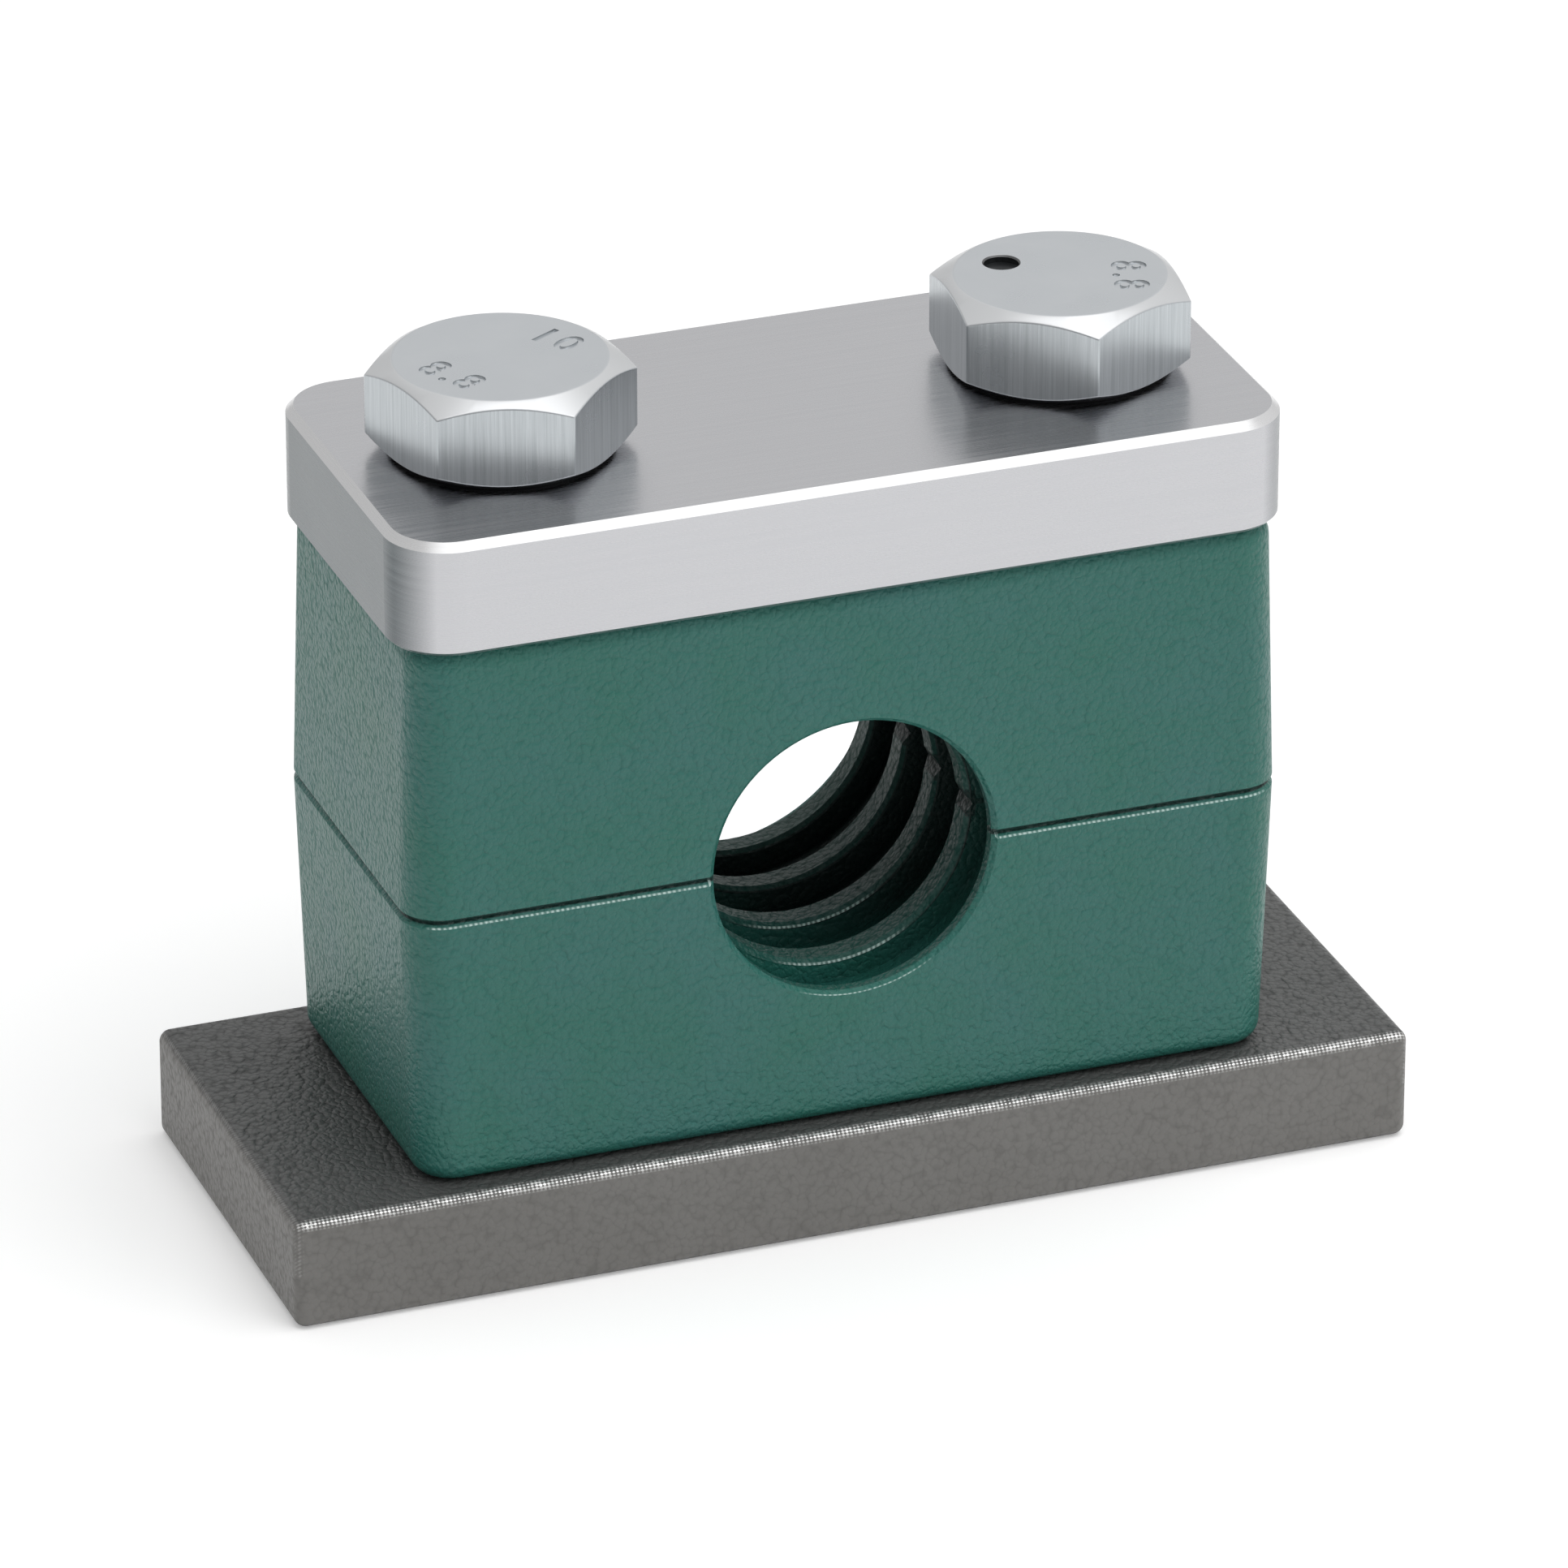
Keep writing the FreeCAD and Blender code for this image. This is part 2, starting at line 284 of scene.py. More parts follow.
def worn_rim():
    tree, given, result = new_group(
        "worn rim", "ShaderNodeTree",
        [("Vector", POINT, None), ("Middle", POINT, None), ("Half Size", POINT, None),
         ("Band", NUMBER, 0.0008), ("Break Up Size", NUMBER, 0.0006)],
        [("Mask", NUMBER), ("Long Edges", NUMBER)],
    )
    centred = vector_calc(tree, "SUBTRACT", given["Vector"], given["Middle"])[0]
    size = vector_calc(tree, "ABSOLUTE", centred)[0]
    depth = axes(tree, vector_calc(tree, "SUBTRACT", given["Half Size"], size)[0])
    near = []
    for axis in range(3):
        share = calc(tree, "DIVIDE", depth[axis], given["Band"])
        near.append(calc(tree, "SUBTRACT", 1.0, share, clamp=True))
    pairs = [calc(tree, "MINIMUM", near[a], near[b]) for a, b in ((0, 1), (1, 2), (2, 0))]
    edge = calc(tree, "MAXIMUM", calc(tree, "MAXIMUM", pairs[0], pairs[1]), pairs[2])
    per_size = calc(tree, "DIVIDE", 1.0, given["Break Up Size"])
    noise = noise_texture(tree, given["Vector"], per_size, 2.0)["Fac"]
    parts = axes(tree, centred)
    over_edge = calc(tree, "SUBTRACT", depth[1], depth[2])
    waves = []
    for operation in ("ADD", "SUBTRACT"):
        slanted = times(tree, calc(tree, operation, parts[0], over_edge), per_size)
        waves.append(calc(tree, "SINE", times(tree, slanted, math.tau)))
    uneven = calc(tree, "MULTIPLY_ADD", noise, UNEVENNESS, UNEVEN_START)
    diamonds = calc(tree, "MULTIPLY_ADD", times(tree, *waves), DIAMOND_DEPTH, uneven, clamp=True)
    # Only the upper half: there the band is also a painted highlight.
    broken = times(tree, calc(tree, "GREATER_THAN", parts[2], 0.0), diamonds)
    tree.links.new(times(tree, edge, broken), result["Mask"])
    tree.links.new(times(tree, pairs[1], broken), result["Long Edges"])
    return tree


CLOUDING = clouding()
RIM_WEAR_AND_HIGHLIGHT = worn_rim()
print("groups made:", CLOUDING.name, "and", RIM_WEAR_AND_HIGHLIGHT.name)

# %% [markdown]
# ## Bands between two limits
# Several finishes, painted highlights and painted shades change within a band: a chamfer that faces up and
# forward, the hollow of a groove, a ring under a bolt head. Such a band is where some number, such as a
# height, a radius or one part of the normal, lies between two limits, with a soft step at each. One small
# group gives that mask for any number.


# %% Group for a soft band
def soft_band():
    tree, given, result = new_group(
        "soft band", "ShaderNodeTree",
        [("Value", NUMBER, 0.0), ("Low", NUMBER, 0.0), ("High", NUMBER, 1.0), ("Softness", NUMBER, 0.1)],
        [("Mask", NUMBER)],
    )
    steps = []
    for first, second in ((given["Value"], given["Low"]), (given["High"], given["Value"])):
        past = calc(tree, "DIVIDE", calc(tree, "SUBTRACT", first, second), given["Softness"])
        steps.append(calc(tree, "ADD", past, 0.5, clamp=True))
    tree.links.new(times(tree, *steps), result["Mask"])
    return tree


SOFT_BAND = soft_band()
print("group made:", SOFT_BAND.name)

# %% [markdown]
# ## Material helpers
# Every material here is one Principled BSDF. What changes over the surface is wired to its colour,
# roughness and normal, and what is the same all over is set on the shader's own sockets. Coordinates are
# the Object ones: the pieces stay at the origin, so they are real metres on the clamp, and a pattern stays
# on its piece when the clamp opens.


# %% Helpers for materials
def new_material(name, **constants):
    """A material with its shader and coordinates. Constants are set on the shader's own sockets."""
    material = bpy.data.materials.new(name)
    material.use_nodes = True
    tree = material.node_tree
    tree.nodes.clear()
    shader = add(tree, "ShaderNodeBsdfPrincipled", spaced(constants))
    add(tree, "ShaderNodeOutputMaterial", [("Surface", shader.outputs[0])])
    place = add(tree, "ShaderNodeTexCoord").outputs
    return material, tree, shader.inputs, place


def placed(tree, group, **feeds):
    """Places a node group with its own values and gives its outputs."""
    return add(tree, "ShaderNodeGroup", spaced(feeds), node_tree=group).outputs


def brushed(tree, vector, length, width):
    """The brushed lines group, along the first axis of a vector."""
    return placed(tree, BRUSHED_LINES, Vector=vector, Scratch_Length=length, Scratch_Width=width)


def band(tree, value, low, high, softness):
    """One where a value lies between two limits, and zero elsewhere."""
    return placed(tree, SOFT_BAND, Value=value, Low=low, High=high, Softness=softness)["Mask"]


def clouds(tree, place, size, contrast):
    return placed(tree, CLOUDING, Vector=place["Object"], Cloud_Size=size, Contrast=contrast)["Tone"]


def between(tree, share, low, high):
    """A number that runs from low to high with share."""
    return calc(tree, "MULTIPLY_ADD", share, high - low, low)


def blend_colours(tree, share, first, second):
    """A colour that runs from the first to the second with share. Each is (r, g, b) or an output."""
    feeds = {0: share}
    for socket, colour in ((6, first), (7, second)):
        feeds[socket] = (*colour, 1.0) if isinstance(colour, tuple) else colour
    return add(tree, "ShaderNodeMix", feeds, data_type="RGBA").outputs[2]


def wire(tree, shader, colour, roughness, height, depth, strength):
    """Wires what changes over the surface. A height of one stands for a real depth in metres."""
    feeds = [("Height", height), ("Distance", depth), ("Strength", strength)]
    tree.links.new(colour, shader["Base Color"])
    tree.links.new(roughness, shader["Roughness"])
    tree.links.new(add(tree, "ShaderNodeBump", feeds).outputs[0], shader["Normal"])


def coat(material, *nodes):
    """Gives a material to pieces of the CAD model."""
    for node in nodes:
        NODES[node].material_slots[0].material = material
    print(material.name, "has", len(material.node_tree.nodes), "nodes")
    return material


print("material helpers ready")

# %% [markdown]
# ## The moulded plastic
# The halves are green polypropylene, coloured right through. The mould gives a fine grain, the green drifts
# towards blue in soft patches, and the surface has the low sheen of a bare moulding. The grain is shallow,
# so bump is enough for it, and its creases are hardly darker than its pebbles. Two things stand out more.
# The thin chamfers that face up and forward, under the split and on the fronts of the ribs, get a painted
# highlight: a pale broken line. And the grooves of the bore and the gap of the split get painted shade,
# which makes them nearly black inside. Both are masks made from bands of height, radius and normal.


# %% Clamp plastic
RIB_RADIUS = 10.0 * MM
SPLIT_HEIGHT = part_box("lower_half")[1].z
FADE_TO_BACK = 14.0 * MM
FADE_TO_RIGHT = 20.0 * MM
DASH_LENGTH = 0.36 * MM


def bore_radius(tree, place):
    """Distance from the tube's axis, and the coordinates it came from."""
    parts = axes(tree, place["Object"])
    above = calc(tree, "SUBTRACT", parts[2], SPLIT_HEIGHT)
    across = times(tree, parts[0], parts[0])
    return calc(tree, "SQRT", calc(tree, "MULTIPLY_ADD", above, above, across)), parts


def behind_rim(tree, parts):
    """Keeps the bore's painted shade off the front and back faces."""
    return band(tree, parts[1], -13.5 * MM, 13.5 * MM, 0.3 * MM)


def split_grime(tree, place, radius, parts):
    """Painted shade in the gap of the split, and in the bore on the cut-back ends of the ribs."""
    gap = band(tree, parts[2], SPLIT_HEIGHT - 0.1 * MM, SPLIT_HEIGHT + 0.34 * MM, 0.05 * MM)
    near = band(tree, parts[2], SPLIT_HEIGHT - 1.1 * MM, SPLIT_HEIGHT + 1.1 * MM, 0.3 * MM)
    cut_back = band(tree, radius, RIB_RADIUS + 0.03 * MM, RIB_RADIUS + 0.7 * MM, 0.04 * MM)
    rib_ends = times(tree, near, cut_back, behind_rim(tree, parts))
    facing = axes(tree, place["Normal"])
    slanting = calc(tree, "LESS_THAN", calc(tree, "ABSOLUTE", facing[2]), 0.85)
    either = calc(tree, "MAXIMUM", times(tree, gap, 0.85), times(tree, rib_ends, 0.9))
    return times(tree, either, slanting)


def bore_grime(tree, radius, parts):
    """Painted shade in the bore: most in the grooves, less on the ribs, and more to the back and right."""
    hollow = band(tree, radius, RIB_RADIUS + 0.3 * MM, RIB_RADIUS + 2.2 * MM, 0.15 * MM)
    rib = band(tree, radius, RIB_RADIUS - 1.0 * MM, RIB_RADIUS + 0.4 * MM, 0.1 * MM)
    back = calc(tree, "MULTIPLY_ADD", parts[1], 1 / FADE_TO_BACK, 0.78)
    deeper = calc(tree, "MULTIPLY_ADD", parts[0], 1 / FADE_TO_RIGHT, back, clamp=True)
    on_rib = times(tree, rib, between(tree, deeper, 0.30, 0.68))
    shade_share = calc(tree, "MULTIPLY_ADD", hollow, deeper, on_rib, clamp=True)
    return times(tree, shade_share, behind_rim(tree, parts))


def rubbed_line(tree, place, radius, parts):
    """A painted highlight: the thin broken pale line on chamfers that face up and forward."""
    facing = axes(tree, place["Normal"])
    forward = band(tree, facing[1], -0.9, -0.6, 0.08)
    leaning = calc(tree, "MULTIPLY_ADD", facing[0], -0.1, facing[2])
    upward = band(tree, leaning, 0.65, 0.95, 0.06)
    in_front = band(tree, parts[1], -20.0 * MM, -1.5 * MM, 1.5 * MM)
    on_split = band(tree, parts[2], SPLIT_HEIGHT - 0.37 * MM, SPLIT_HEIGHT - 0.24 * MM, 0.04 * MM)
    outside = calc(tree, "GREATER_THAN", radius, RIB_RADIUS + 0.5 * MM)
    on_rib = band(tree, radius, RIB_RADIUS + 0.22 * MM, RIB_RADIUS + 0.42 * MM, 0.04 * MM)
    facet = times(tree, forward, upward, in_front)
    either = calc(tree, "MAXIMUM", times(tree, on_split, outside), on_rib)
    line = times(tree, facet, either)
    wave = calc(tree, "SINE", times(tree, parts[0], math.tau / DASH_LENGTH))
    dash_noise = clouds(tree, place, 0.5 * MM, 2.0)
    dashes = calc(tree, "MULTIPLY_ADD", wave, 0.6, dash_noise, clamp=True)
    return times(tree, line, between(tree, dashes, 0.2, 1.0))


def clamp_plastic():
    material, tree, shader, place = new_material("clamp plastic", IOR=1.49)
    skin = placed(tree, PEBBLED_SKIN, Vector=place["Object"], Pebble_Size=0.40 * MM, Roughening=0.5)
    cloud = clouds(tree, place, 7.0 * MM, 2.6)
    speck = clouds(tree, place, 0.3 * MM, 3.0)
    radius, parts = bore_radius(tree, place)
    green = blend_colours(tree, cloud, (0.017, 0.142, 0.107), (0.026, 0.146, 0.127))
    creased = blend_colours(tree, times(tree, skin["Crease"], 0.14), green, (0.008, 0.085, 0.068))
    flecked = blend_colours(tree, times(tree, speck, 0.10), creased, (0.05, 0.20, 0.17))
    # Painted shade: the bore and the gap of the split are darkened nearly to black.
    bore_shade = times(tree, bore_grime(tree, radius, parts), 0.95)
    painted_shade = calc(tree, "MAXIMUM", bore_shade, split_grime(tree, place, radius, parts))
    with_painted_shade = blend_colours(tree, painted_shade, flecked, (0.002, 0.009, 0.008))
    # Painted highlight: a pale broken line on the chamfers that face up and forward.
    pale = blend_colours(tree, rubbed_line(tree, place, radius, parts), with_painted_shade, (0.50, 0.67, 0.63))
    roughness = calc(tree, "MULTIPLY_ADD", bore_shade, 0.22, between(tree, skin["Crease"], 0.34, 0.50))
    wire(tree, shader, pale, roughness, skin["Height"], 0.12 * MM, 0.8)
    return material


coat(clamp_plastic(), "lower_half", "upper_half")

# %% [markdown]
# ## The weld plate's coated steel
# The weld plate is a flat bar with a dark grey coating. Its pebbles are a little larger and deeper than
# those of the plastic, and along the upper edges their tops are rubbed to bright metal, which is made near
# white as a painted highlight. So it uses the pebble group with its own sizes, and the rim group lightens
# and smooths the edges and makes them metallic. The top and bottom faces are nearly black as painted shade,
# and the sides are a lighter, browner grey as a painted reflection.


# %% Plate steel
def half_size(node):
    low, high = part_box(node)
    return tuple((high - low) / 2), tuple((high + low) / 2)


def plate_steel():
    material, tree, shader, place = new_material("plate steel")
    half, middle = half_size("weld_plate")
    skin = placed(tree, PEBBLED_SKIN, Vector=place["Object"], Pebble_Size=0.46 * MM, Roughening=0.35)
    cloud = clouds(tree, place, 11.0 * MM, 1.8)
    rim = placed(
        tree, RIM_WEAR_AND_HIGHLIGHT, Vector=place["Object"], Middle=middle, Half_Size=half, Band=0.66 * MM,
        Break_Up_Size=0.58 * MM,
    )
    facing = axes(tree, place["Normal"])
    faces_up_or_down = calc(tree, "MULTIPLY_ADD", calc(tree, "ABSOLUTE", facing[2]), 2.5, -1.25, clamp=True)
    # Painted reflection and shade: the sides are a lighter grey and the top and bottom faces a darker one.
    side_grey_painted_light = blend_colours(tree, cloud, (0.168, 0.163, 0.154), (0.194, 0.189, 0.180))
    flat_grey_painted_dark = blend_colours(tree, cloud, (0.082, 0.084, 0.083), (0.105, 0.106, 0.104))
    grey = blend_colours(tree, faces_up_or_down, side_grey_painted_light, flat_grey_painted_dark)
    crease = times(tree, skin["Crease"], between(tree, faces_up_or_down, 0.12, 0.38))
    creased = blend_colours(tree, crease, grey, (0.03, 0.03, 0.029))
    # Painted highlight on rubbed bare metal: the upper edges turn near white, most along the long ones.
    lightly = times(tree, rim["Mask"], 0.2)
    wear_and_highlight = calc(tree, "MULTIPLY_ADD", rim["Long Edges"], 1.5, lightly, clamp=True)
    rubbed_and_highlighted = blend_colours(tree, wear_and_highlight, creased, (0.95, 0.95, 0.94))
    roughness = calc(tree, "MULTIPLY_ADD", wear_and_highlight, -0.16, between(tree, skin["Crease"], 0.42, 0.60))
    tree.links.new(between(tree, wear_and_highlight, 0.2, 0.9), shader["Metallic"])
    depth = between(tree, faces_up_or_down, 0.08 * MM, 0.16 * MM)
    wire(tree, shader, rubbed_and_highlighted, roughness, skin["Height"], depth, 0.8)
    return material


coat(plate_steel(), "weld_plate")

# %% [markdown]
# ## The cover plate's brushed steel
# The cover plate is bright steel, brushed along its length on top and all the way round its sides. The
# lines have to turn with the faces: on top they run along X and repeat along Y, and on the sides they run
# level and repeat with height. The surface normal says which face a point is on, so it picks between the
# two sets of coordinates. It also picks out the two ends, which were sawn and get a dark colour as a painted
# reflection, and the bevel along the top, which is polished and made lighter as a painted highlight. Under
# each bolt head a dark ring is painted as the head's contact shadow.


# %% Cover steel
BOLT_X = 20.0 * MM
WASHER_RADIUS = 7.4 * MM


def from_bolt(tree, place):
    """The coordinates, and how far a point is from the nearer bolt's axis along X."""
    parts = axes(tree, place["Object"])
    return parts, calc(tree, "SUBTRACT", calc(tree, "ABSOLUTE", parts[0]), BOLT_X)


def under_head(tree, place, on_top):
    """The ring round each bolt under the head's washer face, where a dark contact shadow is painted."""
    parts, aside = from_bolt(tree, place)
    across = times(tree, parts[1], parts[1])
    radius = calc(tree, "SQRT", calc(tree, "MULTIPLY_ADD", aside, aside, across))
    return times(tree, band(tree, radius, 0.0, WASHER_RADIUS + 0.1 * MM, 0.4 * MM), on_top)


def cover_steel():
    material, tree, shader, place = new_material("cover steel", Metallic=1.0)
    parts = axes(tree, place["Object"])
    facing = axes(tree, place["Normal"])
    on_top = calc(tree, "GREATER_THAN", calc(tree, "ABSOLUTE", facing[2]), 0.8)
    on_end = calc(tree, "MULTIPLY_ADD", calc(tree, "ABSOLUTE", facing[0]), 2.0, -0.9, clamp=True)
    level = calc(tree, "ADD", parts[0], parts[1])
    side_line = xyz(tree, level, parts[2], 0.0)
    feeds = [(0, on_top), (4, side_line), (5, place["Object"])]
    line = add(tree, "ShaderNodeMix", feeds, data_type="VECTOR").outputs[1]
    lines = brushed(tree, line, 9.0 * MM, 0.09 * MM)
    cloud = clouds(tree, place, 14.0 * MM, 1.6)
    on_bevel = band(tree, facing[2], 0.45, 0.95, 0.1)
    steel = blend_colours(tree, lines["Tone"], (0.53, 0.533, 0.552), (0.574, 0.575, 0.591))
    # Painted reflection: the two ends are given a dark grey.
    end_grey_painted_dark = blend_colours(tree, lines["Tone"], (0.086, 0.099, 0.104), (0.162, 0.181, 0.188))
    on_sawn = times(tree, on_end, calc(tree, "SUBTRACT", 1.0, on_bevel))
    turning = blend_colours(tree, on_sawn, steel, end_grey_painted_dark)
    drifting = blend_colours(tree, times(tree, cloud, 0.15), turning, (0.49, 0.495, 0.51))
    # Painted highlight: the polished bevel is made lighter.
    rubbed_and_highlighted = blend_colours(tree, times(tree, on_bevel, 0.9), drifting, (0.78, 0.78, 0.785))
    # Painted shadow: a dark ring under each bolt head.
    with_painted_shade = blend_colours(tree, under_head(tree, place, on_top), rubbed_and_highlighted, (0.03, 0.032, 0.035))
    roughness = between(tree, lines["Tone"], 0.20, 0.34)
    wire(tree, shader, with_painted_shade, roughness, lines["Height"], 0.006 * MM, 0.5)
    return material


coat(cover_steel(), "cover_plate")

# %% [markdown]
# ## Zinc on the bolts
# The bolts are zinc plated. Their top is satin, the turned chamfers are made lighter as a painted highlight,
# and the flats of the head are a darker zinc as painted shade, with upright lines from the trimming die.
# Upright lines on six flats need a coordinate that goes round the bolt: the angle about the bolt's axis
# times a radius. Both bolts stand equally far from the middle, so taking the size of X and then the bolt's
# distance away centres the pattern on either one with the same material. The gap under the head and the
# bottom of the dimple get painted shade.


# %% Bolt zinc
HEAD_RADIUS = 8.5 * MM
COVER_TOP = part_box("cover_plate")[1].z
HEAD_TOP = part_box("left_bolt")[1].z
DIMPLE_PLACE = Vector((-3.06, 3.09)) * MM
DIMPLE_RADIUS = 1.2 * MM


def round_the_bolt(tree, place):
    """Coordinates whose first axis runs up the bolt and whose second goes round it, in metres."""
    parts, aside = from_bolt(tree, place)
    angle = calc(tree, "ARCTAN2", parts[1], aside)
    arc = times(tree, angle, HEAD_RADIUS)
    return xyz(tree, parts[2], arc, 0.0)


def bolt_grime(tree, place):
    """The narrow gap under the head and the bottom of the dimple, where shade is painted."""
    parts = axes(tree, place["Object"])
    gap = band(tree, parts[2], COVER_TOP - 0.4 * MM, COVER_TOP + 0.3 * MM, 0.1 * MM)
    flat = xyz(tree, parts[0], parts[1], 0.0)
    middle = (BOLT_X + DIMPLE_PLACE.x, DIMPLE_PLACE.y, 0.0)
    away = vector_calc(tree, "DISTANCE", flat, middle)["Value"]
    hole = calc(tree, "LESS_THAN", away, DIMPLE_RADIUS + 0.14 * MM)
    deep = band(tree, parts[2], HEAD_TOP - 1.2 * MM, HEAD_TOP - 0.01 * MM, 0.02 * MM)
    return calc(tree, "MULTIPLY_ADD", hole, times(tree, deep, 0.82), gap, clamp=True)


def bolt_zinc():
    material, tree, shader, place = new_material("bolt zinc", Metallic=1.0)
    facing = axes(tree, place["Normal"])
    on_flat = calc(tree, "LESS_THAN", calc(tree, "ABSOLUTE", facing[2]), 0.3)
    lines = brushed(tree, round_the_bolt(tree, place), 3.5 * MM, 0.05 * MM)
    cloud = clouds(tree, place, 3.4 * MM, 1.2)
    zinc = blend_colours(tree, cloud, (0.565, 0.592, 0.616), (0.62, 0.643, 0.664))
    # Painted shade: the flats get a darker zinc, with the die's lines.
    trimmed_and_shaded = blend_colours(tree, lines["Tone"], (0.405, 0.435, 0.452), (0.573, 0.605, 0.625))
    lined = blend_colours(tree, on_flat, zinc, trimmed_and_shaded)
    # Painted highlight: the chamfers are made lighter.
    on_chamfer = band(tree, facing[2], 0.6, 0.95, 0.05)
    turned = blend_colours(tree, times(tree, on_chamfer, 0.9), lined, (0.70, 0.71, 0.72))
    # Painted shade in the gap under the head and at the bottom of the dimple.
    with_painted_shade = blend_colours(tree, bolt_grime(tree, place), turned, (0.02, 0.021, 0.022))
    height = times(tree, lines["Height"], on_flat)
    roughness = between(tree, cloud, 0.25, 0.32)
    wire(tree, shader, with_painted_shade, roughness, height, 0.006 * MM, 0.5)
    return material


BOLT_ZINC = coat(bolt_zinc())

# %% [markdown]
# ## Turned steel of the bushes
# The bushes on the weld plate hold the thread. They are turned on a lathe and darkened with the plate, and
# the tool leaves a fine level ring at each turn. The brushed lines group draws those rings when its first
# axis goes round the bush and its second runs up it.


# %% Bush steel
def bush_steel():
    material, tree, shader, place = new_material("bush steel", Metallic=0.6)
    upright = axes(tree, round_the_bolt(tree, place))
    rings = xyz(tree, upright[1], upright[0], 0.0)
    lines = brushed(tree, rings, 30.0 * MM, 0.14 * MM)
    cloud = clouds(tree, place, 4.0 * MM, 2.0)
    dark = blend_colours(tree, cloud, (0.13, 0.125, 0.12), (0.19, 0.185, 0.18))
    lined = blend_colours(tree, times(tree, lines["Tone"], 0.5), dark, (0.27, 0.265, 0.26))
    roughness = between(tree, lines["Tone"], 0.36, 0.5)
    wire(tree, shader, lined, roughness, lines["Height"], 0.02 * MM, 0.7)
    return material


BUSH_STEEL = coat(bush_steel())

# %% [markdown]
# ## The thread
# The CAD bolts have plain shanks, so the thread is made here. A thread follows a rule: round the axis and
# up by one pitch a turn, with a profile that is flat at the crest and at the root and has flanks at 60
# degrees to each other. A Screw modifier could turn a profile, but it can't end in a plain ring, which a
# closed mesh needs. So Geometry Nodes take a flat grid and work out each point: one axis of the grid goes
# round and the other goes up, its rows lean with the thread so that every crest is a row of edges, and rows
# past the ends are pushed back onto the end rings. The same tree cuts the thread in the bushes, with its
# faces turned in.

# %% Thread tree
CREST_SHARE = 1 / 8
ROOT_SHARE = 1 / 4
ROWS_PER_PITCH = 16
SAME_POINT = 0.002 * MM
THREAD_INPUTS = [
    ("Columns", WHOLE, 96), ("Bottom", NUMBER, 0.0), ("Top", NUMBER, 0.02), ("Pitch", NUMBER, 0.0015),
    ("Crest Radius", NUMBER, 0.005), ("Depth", NUMBER, 0.0008), ("Turn", NUMBER, 0.0),
    ("Bottom Radius", NUMBER, 0.004), ("Bottom Slope", NUMBER, 1.0),
    ("Top Radius", NUMBER, 0.005), ("Top Slope", NUMBER, 1.0),
    ("Inside", YES_NO, False), ("Centre", NUMBER, 0.0), ("Material", FINISH, None),
]


def round_point(tree, radius, turn, height, centre):
    """The point at a radius, a share of a turn and a height about an upright axis at X = centre."""
    angle = times(tree, turn, math.tau)
    x = calc(tree, "MULTIPLY_ADD", radius, calc(tree, "COSINE", angle), centre)
    y = times(tree, radius, calc(tree, "SINE", angle))
    return xyz(tree, x, y, height)


def wrapped_grid(tree, columns, rows, turn):
    """A unit grid with its shares across and up, and the share of a turn at each point."""
    across = calc(tree, "ADD", columns, 1.0)
    upward = calc(tree, "ADD", rows, 1.0)
    grid = add(
        tree, "GeometryNodeMeshGrid",
        [("Size X", 1.0), ("Size Y", 1.0), ("Vertices X", across), ("Vertices Y", upward)],
    )
    parts = axes(tree, tree.nodes.new("GeometryNodeInputPosition").outputs[0])
    share_round = calc(tree, "ADD", parts[0], 0.5)
    share_up = calc(tree, "ADD", parts[1], 0.5)
    return grid.outputs["Mesh"], calc(tree, "ADD", share_round, turn), share_up


def closed_round(tree, mesh, position, material, flip=None):
    """Moves the grid's points, joins its seam and poles, and ends the tree with real faces and a finish."""
    steps = [
        ("GeometryNodeSetPosition", {"Position": position}),
        ("GeometryNodeMergeByDistance", {"Distance": SAME_POINT}),
        ("GeometryNodeRealizeInstances", {}),
        ("GeometryNodeSetMaterial", {"Material": material}),
    ]
    if flip is not None:
        steps.insert(2, ("GeometryNodeFlipFaces", {"Selection": flip}))
    for kind, feeds in steps:
        mesh = add(tree, kind, {0: mesh, **feeds}).outputs[0]
    return mesh


